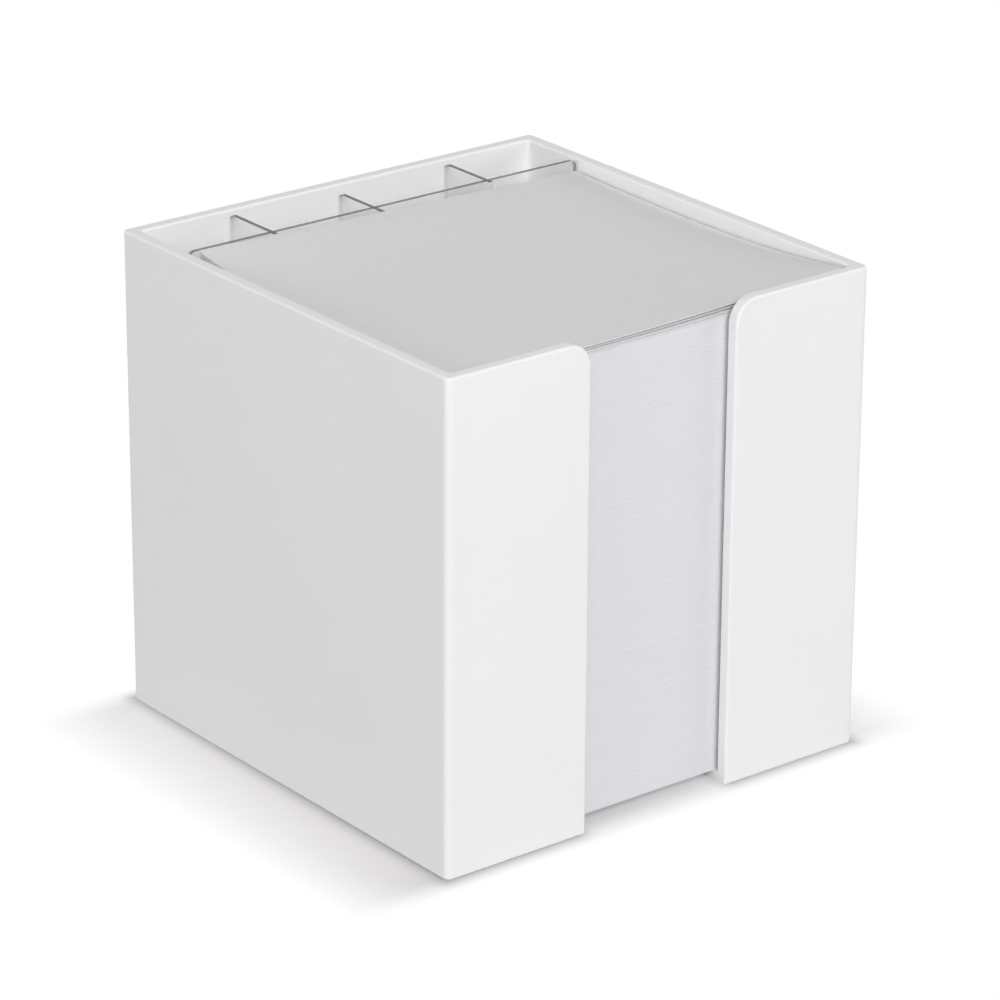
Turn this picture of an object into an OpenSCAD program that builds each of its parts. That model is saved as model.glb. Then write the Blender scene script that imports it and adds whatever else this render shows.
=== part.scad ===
// Memo cube: a moulded box that holds a stack of loose sheets, with a finger
// slot in front and four pen compartments behind clear plates.
// Millimetres. X runs along the front, Y to the back, Z up, and the origin is
// in the middle of the footprint, on the table.

/* [Memo sheets] */
// Width of a sheet, along the front
sheet_w = 92; // [70:0.5:120]
// Depth of a sheet, from front to back
sheet_d = 80; // [60:0.5:110]
// Play between the sheets and the left wall
left_play = 2.3; // [1:0.1:5]
// Play between the sheets and the right wall
right_play = 0.5; // [0.3:0.1:5]
// Play between the sheets and the front wall
front_play = 0.8; // [0.4:0.1:3]
// Play between the sheets and the clear partition
back_play = 0.5; // [0.3:0.1:3]
// How far the middle of the top sheet lies below the rim
top_drop = 3.3; // [2:0.1:40]

/* [Curl of the top sheets] */
// Rise of the back left corner above the middle
curl_back_left = 3.2; // [0:0.1:6]
// Rise of the back right corner above the middle
curl_back_right = 0.9; // [0:0.1:6]
// Rise of the front left corner above the middle
curl_front_left = 0.5; // [0:0.1:6]
// Rise of the front right corner above the middle
curl_front_right = 2.8; // [0:0.1:6]
// Thickness of the sheets that have lifted at the front
lifted_t = 0.3; // [0.2:0.05:1]
// Gap below the top sheets at the front left corner
lift_left = 0.4; // [0.2:0.05:1.5]
// Gap below the top sheets at the front right corner
lift_right = 1; // [0.2:0.05:2]
// Gap below the next sheets, all along the front
lift_next = 0.2; // [0.1:0.05:0.6]
// How far back the lifted sheets come to rest
lift_reach = 34; // [10:1:50]

/* [Holder] */
// Height from the table to the rim
holder_h = 98.5; // [60:0.5:140]
// Thickness of the four walls
wall_t = 2.6; // [2:0.1:4]
// Thickness of the floor
floor_t = 2; // [1.6:0.1:4]
// Radius of the four upright outside edges
outside_r = 1.3; // [0.8:0.1:3]
// Radius of the four upright inside corners
inside_r = 0.8; // [0.5:0.1:1]
// Radius along both edges of the rim and the slot
rim_r = 0.5; // [0.2:0.05:0.7]
// Radius along the foot
foot_r = 0.4; // [0.2:0.05:0.7]

/* [Finger slot] */
// Width of the slot in the front wall
slot_w = 34.5; // [20:0.5:50]
// Radius of the front wall's corners beside the slot
slot_r = 5; // [2:0.5:10]
// How far the slot runs on into the floor
notch_d = 14; // [8:0.5:30]
// Radius of the inner corners of that notch
notch_r = 5; // [2:0.5:8]

/* [Clear plates] */
// Thickness of the clear plates
plate_t = 1; // [0.8:0.1:2]
// Clear depth of the pen compartments
pen_d = 15; // [10:0.5:30]
// Distance from one divider to the next
divider_pitch = 26.2; // [18:0.1:30]
// Play at each end of the partition
partition_play = 0.4; // [0.2:0.1:1]
// How far the partition ends below the rim
partition_drop = 0.2; // [0:0.1:5]
// Radius of the partition's upper corners
partition_r = 1.5; // [0.5:0.1:4]
// How far the two outer dividers end below the rim
outer_drop = 1; // [0:0.1:6]
// How far the middle divider ends below the rim
middle_drop = 2; // [0:0.1:6]
// Play between the dividers and the back wall
divider_play = 0.3; // [0.1:0.1:0.5]
// Radius of the dividers' upper back corner
divider_r = 0.8; // [0.2:0.1:3]

/* [Hidden] */
$fn = 64;

// A cutter runs this far past what it cuts
spill = 0.3;

inside_w = left_play + sheet_w + right_play;
inside_d = front_play + sheet_d + back_play + plate_t + pen_d;
holder_w = inside_w + 2 * wall_t;
holder_d = inside_d + 2 * wall_t;
front_y = -holder_d / 2;
inside_front_y = front_y + wall_t;
inside_back_y = inside_front_y + inside_d;

stack_left_x = -inside_w / 2 + left_play;
stack_front_y = inside_front_y + front_play;
partition_front_y = stack_front_y + sheet_d + back_play;
partition_back_y = partition_front_y + plate_t;

// The stack's mesh: its surfaces one above the other, steps across its width,
// columns from front to back, and the columns where each gap has closed
SURFACES = 6;
STEPS_ACROSS = 22;
COLUMNS = 18;
LIFTED_COLUMNS = 8;
NEXT_COLUMNS = LIFTED_COLUMNS / 2;
// How fast the rise fades away from the front edge and from the back edge
FRONT_FADE = 4.5;
BACK_FADE_LEFT = 6;
BACK_FADE_RIGHT = 3.5;
// How fast the front edge's rise grows towards its right corner
FRONT_GROWTH = 2.5;

// A rectangle with round corners, about the origin
module round_rectangle(w, d, r) {
    square([w - 2 * r, d], center = true);
    square([w, d - 2 * r], center = true);
    for (x = [-1, 1], y = [-1, 1]) {
        translate([x * (w / 2 - r), y * (d / 2 - r)])
            circle(r);
    }
}

// What comes off a sharp corner at the origin to leave it round. The solid
// lies at x > 0 and y < 0.
module corner_cut(r) {
    difference() {
        translate([-spill, -r])
            square(r + spill);
        translate([r, -r])
            circle(r);
    }
}

// Carries a profile round a rectangle with round corners. The profile's x
// points out of the rectangle and its y points up.
module carry_round(w, d, r) {
    for (turn = [0 : 3]) {
        side = turn % 2 == 0 ? w : d;
        reach = turn % 2 == 0 ? d / 2 : w / 2;
        rotate(90 * turn) {
            translate([0, -reach, 0])
                rotate([90, 0, -90])
                    linear_extrude(side - 2 * r, center = true)
                        children();
            translate([side / 2 - r, r - reach, 0])
                rotate(-90)
                    rotate_extrude(angle = 90)
                        translate([r, 0])
                            children();
        }
    }
}

// The finger slot as seen from the front, with the flare at its two top corners
module slot_outline() {
    translate([-slot_w / 2, -spill])
        square([slot_w, holder_h + 2 * spill]);
    for (side = [0, 1]) {
        mirror([side, 0])
            translate([slot_w / 2, holder_h])
                corner_cut(slot_r);
    }
}

// Rounds the front wall's edge up one side of the slot and over its corner.
// The wall's face is at y = 0 and its material lies behind, at y > 0.
module slot_edge_cut(low_z) {
    bend_z = holder_h - slot_r;
    translate([slot_w / 2, 0, low_z])
        linear_extrude(bend_z - low_z)
            mirror([0, 1])
                corner_cut(rim_r);
    translate([slot_w / 2 + slot_r, 0, bend_z])
        rotate([90, 0, 0])
            rotate(90)
                rotate_extrude(angle = 90)
                    translate([slot_r, 0])
                        mirror([1, 0])
                            corner_cut(rim_r);
}

module finger_slot() {
    translate([0, inside_front_y + spill, 0])
        rotate([90, 0, 0])
            linear_extrude(wall_t + 2 * spill)
                slot_outline();
    translate([0, front_y, -spill])
        linear_extrude(floor_t + 2 * spill)
            round_rectangle(slot_w, 2 * notch_d, notch_r);
    for (side = [0, 1]) {
        mirror([side, 0, 0]) {
            translate([0, front_y, 0])
                slot_edge_cut(-spill);
            translate([0, inside_front_y, 0])
                mirror([0, 1, 0])
                    slot_edge_cut(floor_t);
        }
    }
}

// One moulding: floor, four walls, slot and notch
module holder() {
    color([0.95, 0.95, 0.95])
    difference() {
        linear_extrude(holder_h)
            round_rectangle(holder_w, holder_d, outside_r);
        translate([0, 0, floor_t])
            linear_extrude(holder_h)
                round_rectangle(inside_w, inside_d, inside_r);
        translate([0, 0, holder_h]) {
            carry_round(holder_w, holder_d, outside_r)
                mirror([1, 0])
                    corner_cut(rim_r);
            carry_round(inside_w, inside_d, inside_r)
                corner_cut(rim_r);
        }
        carry_round(holder_w, holder_d, outside_r)
            rotate(180)
                corner_cut(foot_r);
        finger_slot();
    }
}

// An upright plate's face, with its lower left corner at the origin. The
// upper corner at the far end is round, and the near one too where both is true.
module plate_face(w, h, r, both) {
    near_r = both ? r : 0;
    square([w, h - r]);
    translate([near_r, 0])
        square([w - r - near_r, h]);
    translate([w - r, h - r])
        circle(r);
    if (both) {
        translate([r, h - r])
            circle(r);
    }
}

// The long clear plate between the sheets and the pens
module partition() {
    plate_w = inside_w - 2 * partition_play;
    plate_h = holder_h - partition_drop - floor_t;
    color([0.80, 0.85, 0.88, 0.4])
    translate([-plate_w / 2, partition_back_y, floor_t])
        rotate([90, 0, 0])
            linear_extrude(plate_t)
                plate_face(plate_w, plate_h, partition_r, true);
}

// A short clear plate, cemented to the back of the partition
module divider(x, drop) {
    plate_w = inside_back_y - divider_play - partition_back_y;
    plate_h = holder_h - drop - floor_t;
    color([0.80, 0.85, 0.88, 0.4])
    translate([x - plate_t / 2, partition_back_y, floor_t])
        rotate([90, 0, 90])
            linear_extrude(plate_t)
                plate_face(plate_w, plate_h, divider_r, false);
}

module divider_left() {
    divider(-divider_pitch, outer_drop);
}

module divider_middle() {
    divider(0, middle_drop);
}

module divider_right() {
    divider(divider_pitch, outer_drop);
}

// Height of the top sheet, where u runs from 0 at the left edge to 1 at the
// right one and v from 0 at the front edge to 1 at the back one. The middle
// sags, and each corner rises by its own curl.
function top_z(u, v) =
    let (front_rise = curl_front_left + (curl_front_right - curl_front_left) * pow(u, FRONT_GROWTH))
    let (back_rise = curl_back_left + (curl_back_right - curl_back_left) * u)
    let (back_fade = BACK_FADE_LEFT + (BACK_FADE_RIGHT - BACK_FADE_LEFT) * u)
    holder_h - top_drop + front_rise * pow(1 - v, FRONT_FADE) + back_rise * pow(v, back_fade);

// Distance of column j from the front edge. The columns stand closer where
// the sheets have lifted.
function column_y(j) =
    j <= LIFTED_COLUMNS
        ? lift_reach * j / LIFTED_COLUMNS
        : lift_reach + (sheet_d - lift_reach) * (j - LIFTED_COLUMNS) / (COLUMNS - LIFTED_COLUMNS);

// Gap below the top sheets, widest at the front edge and closed at lift_reach
function lift_gap(u, y) = (lift_left + (lift_right - lift_left) * u) * max(0, 1 - y / lift_reach);

// Gap below the next sheets, which closes half as far back
function next_gap(y) = lift_next * max(0, 1 - 2 * y / lift_reach);

// Heights of the six surfaces at one place, from the foot to the top: the
// stack, the gap above it, the next sheets, the gap above them, the top sheets
function surface_z(u, y) =
    let (top = top_z(u, y / sheet_d))
    let (next = top - lifted_t - lift_gap(u, y))
    let (stack = next - lifted_t - next_gap(y))
    [floor_t, stack, next - lifted_t, next, top - lifted_t, top];

// Index of a point of the mesh. Where a gap has closed, both its surfaces are one.
function point_at(i, surface, j) =
    let (closed = surface == 2 && j >= NEXT_COLUMNS || surface == 4 && j >= LIFTED_COLUMNS)
    (i * SURFACES + surface - (closed ? 1 : 0)) * (COLUMNS + 1) + j;

// Two triangles for a four-sided patch, whose corners run clockwise as seen
// from outside, or the other way where flip is true
function patch(a, b, c, d, flip) = flip ? [[a, c, b], [a, d, c]] : [[a, b, c], [a, c, d]];

// A surface from the front edge to column last, which faces up or down
function level_faces(surface, last, down) = [
    for (i = [0 : STEPS_ACROSS - 1], j = [0 : last - 1])
        each patch(
            point_at(i, surface, j),
            point_at(i, surface, j + 1),
            point_at(i + 1, surface, j + 1),
            point_at(i + 1, surface, j),
            down
        )
];

// The edges of the sheets between two surfaces, along the front or the back
function edge_faces(low, j, back) = [
    for (i = [0 : STEPS_ACROSS - 1])
        each patch(
            point_at(i, low, j),
            point_at(i, low + 1, j),
            point_at(i + 1, low + 1, j),
            point_at(i + 1, low, j),
            back
        )
];

// The edges of the sheets between two surfaces, up the left or the right side
function side_faces(low, i, right) = [
    for (j = [0 : COLUMNS - 1])
        each patch(
            point_at(i, low, j + 1),
            point_at(i, low + 1, j + 1),
            point_at(i, low + 1, j),
            point_at(i, low, j),
            right
        )
];

// The whole stack of loose sheets as one solid, with the two gaps below the
// sheets that have lifted at the front
module memo_sheets() {
    points = [
        for (i = [0 : STEPS_ACROSS], surface = [0 : SURFACES - 1], j = [0 : COLUMNS])
            let (u = i / STEPS_ACROSS, y = column_y(j))
            [stack_left_x + u * sheet_w, stack_front_y + y, surface_z(u, y)[surface]]
    ];
    levels = concat(
        level_faces(0, COLUMNS, true),
        level_faces(1, NEXT_COLUMNS, false),
        level_faces(2, NEXT_COLUMNS, true),
        level_faces(3, LIFTED_COLUMNS, false),
        level_faces(4, LIFTED_COLUMNS, true),
        level_faces(5, COLUMNS, false)
    );
    edges = [
        for (low = [0, 2, 4])
            each concat(
                edge_faces(low, 0, false),
                edge_faces(low, COLUMNS, true),
                side_faces(low, 0, false),
                side_faces(low, STEPS_ACROSS, true)
            )
    ];
    color([0.91, 0.91, 0.92])
        polyhedron(points, concat(levels, edges));
}

holder();
partition();
divider_left();
divider_middle();
divider_right();
memo_sheets();
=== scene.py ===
import math

import bpy
import numpy as np
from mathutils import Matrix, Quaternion, Vector


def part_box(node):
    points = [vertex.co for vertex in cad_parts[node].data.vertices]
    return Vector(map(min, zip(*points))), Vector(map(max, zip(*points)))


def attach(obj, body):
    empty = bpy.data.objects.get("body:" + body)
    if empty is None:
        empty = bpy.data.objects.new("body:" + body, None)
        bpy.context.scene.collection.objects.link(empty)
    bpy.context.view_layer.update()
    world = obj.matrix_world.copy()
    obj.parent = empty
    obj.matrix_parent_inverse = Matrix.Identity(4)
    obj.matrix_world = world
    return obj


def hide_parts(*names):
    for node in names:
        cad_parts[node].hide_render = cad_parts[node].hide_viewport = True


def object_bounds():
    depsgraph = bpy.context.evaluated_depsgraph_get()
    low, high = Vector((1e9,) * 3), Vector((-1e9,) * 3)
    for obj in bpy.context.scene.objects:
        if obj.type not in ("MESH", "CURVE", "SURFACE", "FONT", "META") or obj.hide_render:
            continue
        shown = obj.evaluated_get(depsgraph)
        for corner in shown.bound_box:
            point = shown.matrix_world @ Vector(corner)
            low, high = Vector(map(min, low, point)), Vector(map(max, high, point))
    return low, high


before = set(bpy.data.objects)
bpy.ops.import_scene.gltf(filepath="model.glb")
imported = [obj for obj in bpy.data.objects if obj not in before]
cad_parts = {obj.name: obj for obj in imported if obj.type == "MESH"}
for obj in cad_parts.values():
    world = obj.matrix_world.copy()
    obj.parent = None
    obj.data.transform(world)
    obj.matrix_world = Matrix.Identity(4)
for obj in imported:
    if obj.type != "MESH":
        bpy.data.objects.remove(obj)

cad_low, cad_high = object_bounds()

# Holder: one white moulding in opaque polystyrene, with a floor, four walls and
# the finger slot. The mould leaves a satin skin with a faint unevenness.


def start_material(name):
    """Makes a node material and returns it with its nodes, its links and its Principled shader."""
    material = bpy.data.materials.new(name)
    material.use_nodes = True
    nodes, links = material.node_tree.nodes, material.node_tree.links
    return material, nodes, links, nodes["Principled BSDF"]


def grain(nodes, links, scale, detail, stretch=(1, 1, 1)):
    """Adds a noise on Object coordinates, with scale in cells per metre, drawn out by stretch."""
    place = nodes.new("ShaderNodeTexCoord")
    turn = nodes.new("ShaderNodeMapping")
    turn.inputs["Scale"].default_value = stretch
    noise = nodes.new("ShaderNodeTexNoise")
    noise.inputs["Scale"].default_value = scale
    noise.inputs["Detail"].default_value = detail
    links.new(place.outputs["Object"], turn.inputs["Vector"])
    links.new(turn.outputs["Vector"], noise.inputs["Vector"])
    return noise.outputs["Fac"]


def mapped(nodes, links, source, source_low, source_high, low, high):
    """Maps a value evenly from one range onto another, and no further than its ends."""
    node = nodes.new("ShaderNodeMapRange")
    node.inputs["From Min"].default_value = source_low
    node.inputs["From Max"].default_value = source_high
    node.inputs["To Min"].default_value = low
    node.inputs["To Max"].default_value = high
    links.new(source, node.inputs["Value"])
    return node.outputs["Result"]


def spread(nodes, links, noise, low, high):
    """Maps the middle of a noise, where nearly all of it lies, onto the range from low to high."""
    return mapped(nodes, links, noise, 0.3, 0.7, low, high)


def tint(nodes, links, noise, low, high):
    """Mixes two colours by a noise."""
    mix = nodes.new("ShaderNodeMix")
    mix.data_type = "RGBA"
    mix.inputs[6].default_value = (*low, 1)
    mix.inputs[7].default_value = (*high, 1)
    links.new(spread(nodes, links, noise, 0, 1), mix.inputs["Factor"])
    return mix.outputs[2]


def relief(nodes, links, shader, noise, distance, strength):
    """Bumps a shader by a noise whose full swing is distance metres high."""
    bump = nodes.new("ShaderNodeBump")
    bump.inputs["Distance"].default_value = distance
    bump.inputs["Strength"].default_value = strength
    links.new(noise, bump.inputs["Height"])
    links.new(bump.outputs["Normal"], shader.inputs["Normal"])


def white_moulding():
    """White plastic: clouds of two near whites, a satin roughness that varies, and fine unevenness."""
    material, nodes, links, shader = start_material("white_moulding_satin")
    clouds = grain(nodes, links, 18, 3)
    colour = tint(nodes, links, clouds, (0.885, 0.885, 0.885), (0.905, 0.905, 0.905))
    links.new(colour, shader.inputs["Base Color"])
    skin = grain(nodes, links, 900, 2)
    links.new(spread(nodes, links, skin, 0.5, 0.58), shader.inputs["Roughness"])
    shader.inputs["Specular IOR Level"].default_value = 0.02
    relief(nodes, links, shader, skin, 0.00001, 0.25)
    return material


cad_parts["holder"].material_slots[0].material = white_moulding()

# Partition and dividers: clear plates cut from colourless sheet. Their broad
# faces are polished, and their sawn edges look dark because light is caught in them; here that dark is a
# painted shade, a flat dark colour, darker on top edges than on upright ones.

# Painted shade: the flat dark colour of the plates' sawn edges, standing in for the dark inside seen
# through them.
PAINTED_EDGE_SHADE_COLOUR = (0.15, 0.153, 0.17, 1)
CLEAR_COLOUR = (0.998, 0.998, 1, 1)


def maths(nodes, links, operation, *values):
    """Adds one Math node, whose values are numbers or other nodes' outputs."""
    node = nodes.new("ShaderNodeMath")
    node.operation = operation
    for socket, value in zip(node.inputs, values):
        if isinstance(value, (int, float)):
            socket.default_value = value
        else:
            links.new(value, socket)
    return node.outputs[0]


def mixed(nodes, links, share, first, second):
    """Mixes two shaders by the share of the second."""
    node = nodes.new("ShaderNodeMixShader")
    links.new(share, node.inputs["Fac"])
    links.new(first, node.inputs[1])
    links.new(second, node.inputs[2])
    return node.outputs[0]


def clear_plate(name, broad_side, painted_dark_top, painted_dark_upright):
    """Clear plastic sheet. Its broad side, given by that side's normal, lets light straight through
    and mirrors by Schlick's law: 4% head on, plus 96% of (1 - cosine of the angle) to the power 5.
    Lamp light passes whole, because what one face mirrors away another sends back.
    The further a face turns from the broad side, the more it shows the painted dark of a sawn edge, a
    painted shade for the dark inside that the edge would show by refraction, up to its share for top
    edges or for upright ones."""
    material, nodes, links, edge = start_material(name)
    # Painted shade: the edge shader's flat dark colour.
    edge.inputs["Base Color"].default_value = PAINTED_EDGE_SHADE_COLOUR
    edge.inputs["Roughness"].default_value = 0.7
    edge.inputs["Specular IOR Level"].default_value = 0.02
    through = nodes.new("ShaderNodeBsdfTransparent")
    through.inputs["Color"].default_value = CLEAR_COLOUR
    mirror = nodes.new("ShaderNodeBsdfAnisotropic")
    polish = grain(nodes, links, 300, 3)
    links.new(spread(nodes, links, polish, 0.02, 0.06), mirror.inputs["Roughness"])
    slant = nodes.new("ShaderNodeLayerWeight")
    slant.inputs["Blend"].default_value = 0.5
    fifth = maths(nodes, links, "POWER", slant.outputs["Facing"], 5)
    schlick = maths(nodes, links, "MULTIPLY_ADD", fifth, 0.96, 0.04)
    shadow_ray = nodes.new("ShaderNodeLightPath").outputs["Is Shadow Ray"]
    mirrored = maths(nodes, links, "MULTIPLY", schlick, maths(nodes, links, "SUBTRACT", 1, shadow_ray))
    face = mixed(nodes, links, mirrored, through.outputs[0], mirror.outputs[0])
    normal = nodes.new("ShaderNodeTexCoord").outputs["Normal"]
    broad = nodes.new("ShaderNodeVectorMath")
    broad.operation = "DOT_PRODUCT"
    broad.inputs[1].default_value = broad_side
    links.new(normal, broad.inputs[0])
    turned = mapped(nodes, links, maths(nodes, links, "ABSOLUTE", broad.outputs["Value"]), 0.9, 0.5, 0, 1)
    parts = nodes.new("ShaderNodeSeparateXYZ")
    links.new(normal, parts.inputs[0])
    upward = maths(nodes, links, "ABSOLUTE", parts.outputs["Z"])
    # Painted shade share: from the upright edges' share to the top edges' share as the face turns upward.
    painted_dark_share = mapped(nodes, links, upward, 0, 1, painted_dark_upright, painted_dark_top)
    whole = mixed(nodes, links, maths(nodes, links, "MULTIPLY", turned, painted_dark_share), face, edge.outputs[0])
    links.new(whole, nodes["Material Output"].inputs["Surface"])
    return material


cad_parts["partition"].material_slots[0].material = clear_plate("clear_partition", (0, 1, 0), 0.78, 0.55)

clear_divider = clear_plate("clear_divider", (1, 0, 0), 0.85, 0.05)
for name in ("divider_left", "divider_middle", "divider_right"):
    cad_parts[name].material_slots[0].material = clear_divider

# Memo sheets: a stack of loose white writing paper, cut square. The lower sheets
# lie tight, each a hair out of line, and the top ones curl and part at the front.

CURL = {"back_left": 0.0032, "back_right": 0.0009, "front_left": 0.0005, "front_right": 0.0028}
TOP_DROP = 0.0033
SHEET_T = 0.0001
SLACK = 0.00001
LEAN = 0.00012
TURN = 0.0003
BUNDLES = (
    # from the top: sheets, the gap above them at the front corners and how far back
    # it reaches as a share of the depth, and how far back they lie
    {"sheets": 2, "gap_left": 0, "gap_right": 0, "reach": 1, "set_back": 0.0004},
    {"sheets": 1, "gap_left": 0.0001, "gap_right": 0.0006, "reach": 0.42, "set_back": 0.0003},
    {"sheets": 2, "gap_left": 0.00015, "gap_right": 0.0005, "reach": 0.42, "set_back": 0},
    {"sheets": 3, "gap_left": 0.00006, "gap_right": 0.0002, "reach": 0.3, "set_back": 0},
    {"sheets": 2, "gap_left": 0.00002, "gap_right": 0.00006, "reach": 0.2, "set_back": 0},
)
ACROSS, BACK = 40, 34
PLIES = 200
PLY_SPREAD = (0.6, 1.4)
PLY_FOOT, PLY_HEAD = 0.9, 0.1
GROOVE = 0.00001
SHARP = math.radians(40)
stack_low, stack_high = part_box("memo_sheets")
flat_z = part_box("holder")[1].z - TOP_DROP
draw = np.random.default_rng(7)


def rise(u, v):
    """How far the top sheet rises above its flat middle, at u across and v back, each from 0 to 1:
    the front edge's rise times (1 - v) to the power 4.5, plus the back edge's rise times v to a
    power that falls from 6 at the left to 3.5 at the right. Along the front edge the rise grows
    with u to the power 2.5, and along the back edge evenly."""
    front = CURL["front_left"] + (CURL["front_right"] - CURL["front_left"]) * u**2.5
    back = CURL["back_left"] + (CURL["back_right"] - CURL["back_left"]) * u
    return front * (1 - v) ** 4.5 + back * v ** (6 - 2.5 * u)


def gap_above(bundle, u, v):
    """The gap above a bundle: its size at the front edge, which grows evenly from left to right,
    times the square of what is left of its reach."""
    size = bundle["gap_left"] + (bundle["gap_right"] - bundle["gap_left"]) * u
    return size * np.clip(1 - v / bundle["reach"], 0, 1) ** 2


def surface(name, points, faces, material):
    """Makes a mesh object from an array of points and a list of faces."""
    mesh = bpy.data.meshes.new(name)
    mesh.from_pydata(points.tolist(), [], faces)
    mesh.materials.append(material)
    piece = bpy.data.objects.new(name, mesh)
    bpy.context.scene.collection.objects.link(piece)
    return piece


def quads(rows, columns, first=0, turned=False, closed=False):
    """Four-sided faces of a grid of points, row by row. Closed joins the last column to the first."""
    i, j = np.meshgrid(np.arange(rows - 1), np.arange(columns - (0 if closed else 1)), indexing="ij")
    k = (j + 1) % columns
    faces = np.stack([i * columns + j, i * columns + k, (i + 1) * columns + k, (i + 1) * columns + j], -1)
    faces = faces.reshape(-1, 4) + first
    return faces[:, ::-1] if turned else faces


def rim_of(rows, columns):
    """Indices of a grid's outer points, counterclockwise from the first."""
    grid = np.arange(rows * columns).reshape(rows, columns)
    return np.concatenate([grid[0, :-1], grid[:-1, -1], grid[-1, :0:-1], grid[:0:-1, 0]])


def sheet_points(z, shift, angle=0.0):
    """An even grid over the stack's width and depth, less LEAN at each edge, turned by angle about
    its middle and shifted, at the heights z."""
    v, u = np.meshgrid(np.linspace(-0.5, 0.5, BACK), np.linspace(-0.5, 0.5, ACROSS), indexing="ij")
    x = u * (stack_high.x - stack_low.x - 2 * LEAN)
    y = v * (stack_high.y - stack_low.y - 2 * LEAN)
    middle = (stack_low + stack_high) / 2
    return np.stack([
        middle.x + shift[0] + x * math.cos(angle) - y * math.sin(angle),
        middle.y + shift[1] + x * math.sin(angle) + y * math.cos(angle),
        z,
    ], -1).reshape(-1, 3)


def make_sheet(name, z, set_back):
    """A sheet of paper as a closed thin solid: its upper face, the same face one thickness lower,
    and a strip round its edge, which shows the cut. It lies a hair out of place, and set back."""
    shift = draw.normal(0, LEAN / 4, 2).clip(-LEAN / 2, LEAN / 2) + (0, set_back)
    upper = sheet_points(z, shift, draw.normal(0, TURN))
    count = len(upper)
    ring = rim_of(BACK, ACROSS)
    after = np.roll(ring, -1)
    strip = np.stack([ring, ring + count, after + count, after], -1)
    faces = np.concatenate([quads(BACK, ACROSS), quads(BACK, ACROSS, count, turned=True), strip])
    piece = surface(name, np.concatenate([upper, upper - (0, 0, SHEET_T)]), faces.tolist(), sheet_face)
    piece.data.materials.append(sheet_edge)
    cut = (np.arange(len(faces)) >= len(faces) - len(strip)).astype(np.int32)
    piece.data.polygons.foreach_set("material_index", cut)
    piece.data.shade_smooth()
    piece.data.set_sharp_from_angle(angle=SHARP)
    return piece


def paper(name, low, high, mottle_scale, mottle_stretch, bump_scale, bump_stretch):
    """Uncoated paper: a faint mottle between two near whites and a fine fibre relief."""
    material, nodes, links, shader = start_material(name)
    mottle = grain(nodes, links, mottle_scale, 4, mottle_stretch)
    links.new(tint(nodes, links, mottle, low, high), shader.inputs["Base Color"])
    fibre = grain(nodes, links, bump_scale, 3, bump_stretch)
    relief(nodes, links, shader, fibre, 0.00001, 0.2)
    shader.inputs["Roughness"].default_value = 0.85
    shader.inputs["Specular IOR Level"].default_value = 0.05
    return material


sheet_face = paper(
    "paper_face", (0.788, 0.788, 0.79), (0.802, 0.802, 0.805), 350, (1, 1, 1), 2600, (1, 1, 1)
)
sheet_edge = paper(
    "paper_cut_edges", (0.764, 0.764, 0.798), (0.773, 0.773, 0.808), 20, (1, 1, 60), 60, (1, 1, 80)
)

v, u = np.meshgrid(np.linspace(0, 1, BACK), np.linspace(0, 1, ACROSS), indexing="ij")
z = flat_z + rise(u, v)
number = 0
for bundle in BUNDLES:
    z = z - gap_above(bundle, u, v)
    for _ in range(bundle["sheets"]):
        number += 1
        piece = make_sheet(f"memo_sheet_{number}", z, bundle["set_back"])
        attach(piece, "root")
        z = z - SHEET_T - SLACK


def make_stack(lid_z):
    """The lower sheets as one closed body with its lid at the heights lid_z. Its sides are rows of
    points round the stack, two for each ply that shows: its foot and its head, which stand out
    from the groove between them. Each ply is shifted a hair, and the lid's curl fades down the
    stack with the tenth power of the height."""
    lid = sheet_points(lid_z, (0, 0))
    ring = rim_of(BACK, ACROSS)
    rim = lid[ring]
    tops = np.cumsum(draw.uniform(*PLY_SPREAD, PLIES))
    tops = tops / tops[-1]
    thickness = np.diff(tops, prepend=0)
    h = np.stack([tops - PLY_FOOT * thickness, tops - PLY_HEAD * thickness], -1).reshape(-1, 1)
    h[0], h[-1] = 0, 1
    shift = np.repeat(draw.normal(0, LEAN / 24, (PLIES, 2)).clip(-LEAN / 2, LEAN / 2), 2, 0)
    shift[-1] = 0
    from_middle = rim[:, :2] - rim[:, :2].mean(0)
    at_edge = np.abs(from_middle) > 0.4999 * np.ptp(rim[:, :2], axis=0)
    away = np.sign(from_middle) * at_edge
    bulge = np.tile([GROOVE, 0], PLIES)[:, None]
    bulge[0] = 0
    flat = lid_z.min() - stack_low.z
    sides = np.stack([
        rim[:, 0] + shift[:, :1] + bulge * away[:, 0],
        rim[:, 1] + shift[:, 1:] + bulge * away[:, 1],
        stack_low.z + flat * h + (rim[:, 2] - stack_low.z - flat) * h**10,
    ], -1)
    rows, columns = sides.shape[:2]
    first = len(lid)
    last = first + (rows - 2) * columns + np.arange(columns)
    join = np.stack([last, np.roll(last, -1), np.roll(ring, -1), ring], -1)
    faces = [
        *quads(BACK, ACROSS).tolist(),
        *quads(rows - 1, columns, first, closed=True).tolist(),
        *join.tolist(),
        (first + np.arange(columns))[::-1].tolist(),
    ]
    return surface("memo_stack", np.concatenate([lid, sides[:-1].reshape(-1, 3)]), faces, sheet_edge)


stack = make_stack(z)
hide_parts("memo_sheets")
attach(stack, "root")

# Floor: a white table top that fades into the white surround. Round the box it shows
# the lamps' real shadow and a painted shade, a darker warm diffuse mixed in by distance from the box. It
# is part of the stage and not of the object.

FLOOR_HALF = 4
# Painted shade: the floor's warm, darker colour round the box, set against the white around it.
FLOOR_SHADE_COLOUR = (0.76 * 1.022, 0.76 * 0.993, 0.76 * 0.985, 1)
FLOOR_PLAIN = (0.55, 0.55, 0.55, 1)
SHADE_SIDEWAYS, SHADE_BEND, SHADE_MIDDLE = 0.0205, 1.1, -0.002
SHADE_ENDWAYS, SHADE_EASE = 0.006, 0.002
SHADE_AWAY = 0.58
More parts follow.
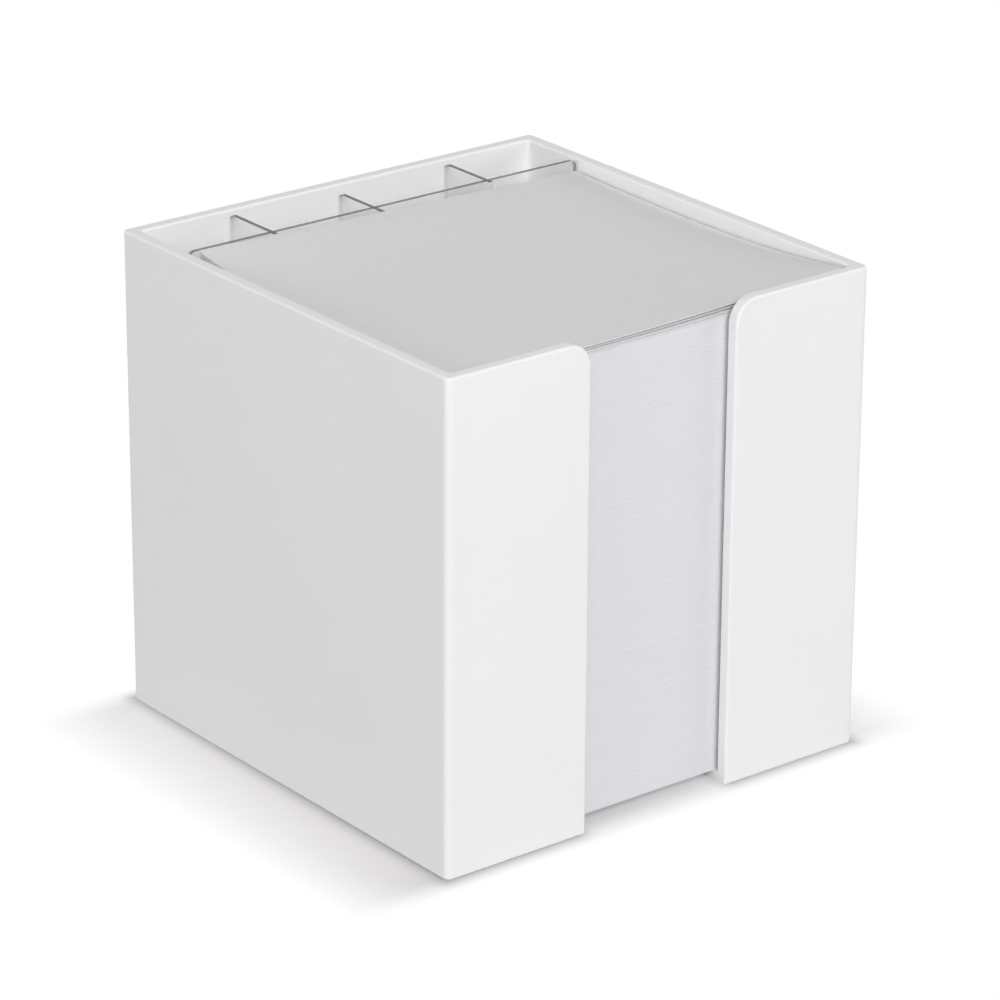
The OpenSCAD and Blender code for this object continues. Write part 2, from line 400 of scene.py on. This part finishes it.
# Painted contact shadow: its strength at the foot and how far it reaches.
PAINTED_CONTACT_SHADE, PAINTED_CONTACT_REACH = 0.38, 0.004
SLOT_HALF, SLOT_BLEND = 0.015, 0.004


def seen_directly(nodes, links):
    """1 for rays from the camera, and for those by way of gloss or clear plastic; 0 for the rest."""
    path = nodes.new("ShaderNodeLightPath")
    total = path.outputs["Is Camera Ray"]
    for kind in ("Is Glossy Ray", "Is Transmission Ray"):
        total = maths(nodes, links, "MAXIMUM", total, path.outputs[kind])
    return total


def outside(nodes, links, coordinate, half, middle=0):
    """How far a coordinate lies outside a span about its middle."""
    away = maths(nodes, links, "ABSOLUTE", maths(nodes, links, "SUBTRACT", coordinate, middle))
    return maths(nodes, links, "MAXIMUM", maths(nodes, links, "SUBTRACT", away, half), 0)


def fading(nodes, links, distance, reach, power):
    """1 less the power of distance over reach, and not below 0."""
    part = maths(nodes, links, "POWER", maths(nodes, links, "DIVIDE", distance, reach), power)
    return maths(nodes, links, "MAXIMUM", maths(nodes, links, "SUBTRACT", 1, part), 0)


def shadow_share(nodes, links, x, y):
    """How much of the floor shows a painted shade, a darker diffuse that also takes the lamps' real
    shadows: all of it under the box, less and less beyond its sides and its ends, and less towards the
    back and the right."""
    sideways = outside(nodes, links, x, cad_high.x, SHADE_MIDDLE)
    endways = outside(nodes, links, y, cad_high.y - SHADE_EASE)
    near = maths(
        nodes, links, "MULTIPLY",
        fading(nodes, links, sideways, SHADE_SIDEWAYS, SHADE_BEND),
        fading(nodes, links, endways, SHADE_ENDWAYS, 1),
    )
    corner = cad_low.x + cad_low.y
    weaker = mapped(nodes, links, maths(nodes, links, "ADD", x, y), corner, 0, 1, SHADE_AWAY)
    return maths(nodes, links, "MULTIPLY", near, weaker)


def painted_contact_share(nodes, links, x, y):
    """How much painted contact shadow, black mixed into the floor, lies close to the foot: its full
    strength there, falling with the square of what is left of its reach.
    Before the finger slot, where no foot stands, it is nothing."""
    sideways = outside(nodes, links, x, cad_high.x)
    endways = outside(nodes, links, y, cad_high.y)
    squares = maths(
        nodes, links, "ADD",
        maths(nodes, links, "POWER", sideways, 2),
        maths(nodes, links, "POWER", endways, 2),
    )
    distance = maths(nodes, links, "SQRT", squares)
    near = maths(nodes, links, "POWER", fading(nodes, links, distance, PAINTED_CONTACT_REACH, 1), 2)
    past_slot = maths(nodes, links, "DIVIDE", outside(nodes, links, x, SLOT_HALF), SLOT_BLEND)
    behind = maths(nodes, links, "GREATER_THAN", y, 0)
    foot = maths(nodes, links, "MAXIMUM", maths(nodes, links, "MINIMUM", past_slot, 1), behind)
    return maths(nodes, links, "MULTIPLY", maths(nodes, links, "MULTIPLY", near, foot), PAINTED_CONTACT_SHADE)


def diffuse(nodes, colour):
    """Adds a plain matt shader."""
    shader = nodes.new("ShaderNodeBsdfDiffuse")
    shader.inputs["Color"].default_value = colour
    return shader.outputs[0]


def white_floor():
    """The floor is white of itself where it is seen, but round the box it has a painted shade, a darker
    diffuse that also shows the lamps' real shadows, and a painted contact shadow at the foot.
    For all other rays it is a plain pale grey, so that it lights the object as a table would."""
    material, nodes, links, shader = start_material("white_floor")
    nodes.remove(shader)
    place = nodes.new("ShaderNodeTexCoord")
    xyz = nodes.new("ShaderNodeSeparateXYZ")
    links.new(place.outputs["Object"], xyz.inputs[0])
    x, y = xyz.outputs["X"], xyz.outputs["Y"]
    white = nodes.new("ShaderNodeEmission").outputs[0]
    shaded = mixed(nodes, links, shadow_share(nodes, links, x, y), white, diffuse(nodes, FLOOR_SHADE_COLOUR))
    # Painted contact shadow: black mixed in close to the foot.
    with_painted_contact = mixed(nodes, links, painted_contact_share(nodes, links, x, y), shaded, diffuse(nodes, (0, 0, 0, 1)))
    whole = mixed(nodes, links, seen_directly(nodes, links), diffuse(nodes, FLOOR_PLAIN), with_painted_contact)
    links.new(whole, nodes["Material Output"].inputs["Surface"])
    return material


corners = np.array([(-1, -1, 0), (1, -1, 0), (1, 1, 0), (-1, 1, 0)]) * FLOOR_HALF
floor = surface("floor", corners, [(0, 1, 2, 3)], white_floor())

# Surround: white where it is seen, directly or mirrored, and a faint even light
# for everything else.

AMBIENT = 0.1
world = bpy.data.worlds.new("surround")
bpy.context.scene.world = world
world.use_nodes = True
nodes, links = world.node_tree.nodes, world.node_tree.links
around = nodes["Background"]
around.inputs["Color"].default_value = (1, 1, 1, 1)
links.new(mapped(nodes, links, seen_directly(nodes, links), 0, 1, AMBIENT, 1), around.inputs["Strength"])

# Lamps: soft boxes all round at one distance. The strongest stand in front and to
# the left, as in the photograph, and the weaker ones behind keep the far sides clear.

LAMP_AIM = Vector((0, 0, 0.05))
LAMP_DISTANCE = 2.4
LAMP_WIDTH = 1.2
LAMPS = {
    # azimuth from the front and elevation in degrees, height in metres, and watts
    "lamp_front": (-10, 35, 1.2, 28.9),
    "lamp_front_left": (-40, 35, 1.2, 14.5),
    "lamp_left": (-80, 15, 0.7, 12.9),
    "lamp_front_right": (60, 15, 0.7, 11.5),
    "lamp_right_behind": (110, 25, 1.2, 10),
    "lamp_behind_left": (-150, 20, 0.7, 8.9),
    "lamp_behind": (180, 15, 0.7, 8),
}


def outwards(azimuth, elevation):
    """The unit vector from the object at an azimuth, counted from the front to the right."""
    azimuth, elevation = math.radians(azimuth), math.radians(elevation)
    level_part = math.cos(elevation)
    return Vector((math.sin(azimuth) * level_part, -math.cos(azimuth) * level_part, math.sin(elevation)))


def softbox(name, way, height, watts):
    """A rectangular soft lamp that stands off along the unit vector way and faces the object."""
    lamp = bpy.data.lights.new(name, "AREA")
    lamp.shape = "RECTANGLE"
    lamp.size, lamp.size_y = LAMP_WIDTH, height
    lamp.energy = watts
    lamp_object = bpy.data.objects.new(name, lamp)
    bpy.context.scene.collection.objects.link(lamp_object)
    lamp_object.location = LAMP_AIM + way * LAMP_DISTANCE
    lamp_object.rotation_mode = "QUATERNION"
    lamp_object.rotation_quaternion = (-way).to_track_quat("-Z", "Y")


for name, (azimuth, elevation, height, watts) in LAMPS.items():
    softbox(name, outwards(azimuth, elevation), height, watts)

# Camera: at the photograph's viewing angle, fitted to the box's outline, with a
# long lens and a slight roll.

AZIMUTH, ELEVATION, ROLL = -38.25, 22.09, 0.33
CAMERA_AIM = Vector((0.00094, -0.00171, 0.04714))
CAMERA_DISTANCE = 0.9133
SENSOR_WIDTH, FOCAL_LENGTH = 36, 169.76
lens = bpy.data.cameras.new("camera")
lens.sensor_width = SENSOR_WIDTH
lens.lens = FOCAL_LENGTH
camera = bpy.data.objects.new("camera", lens)
bpy.context.scene.collection.objects.link(camera)
way = outwards(AZIMUTH, ELEVATION)
camera.location = CAMERA_AIM + way * CAMERA_DISTANCE
camera.rotation_mode = "QUATERNION"
camera.rotation_quaternion = (-way).to_track_quat("-Z", "Y") @ Quaternion((0, 0, 1), math.radians(ROLL))
bpy.context.scene.camera = camera
bpy.context.scene.view_settings.view_transform = "Standard"
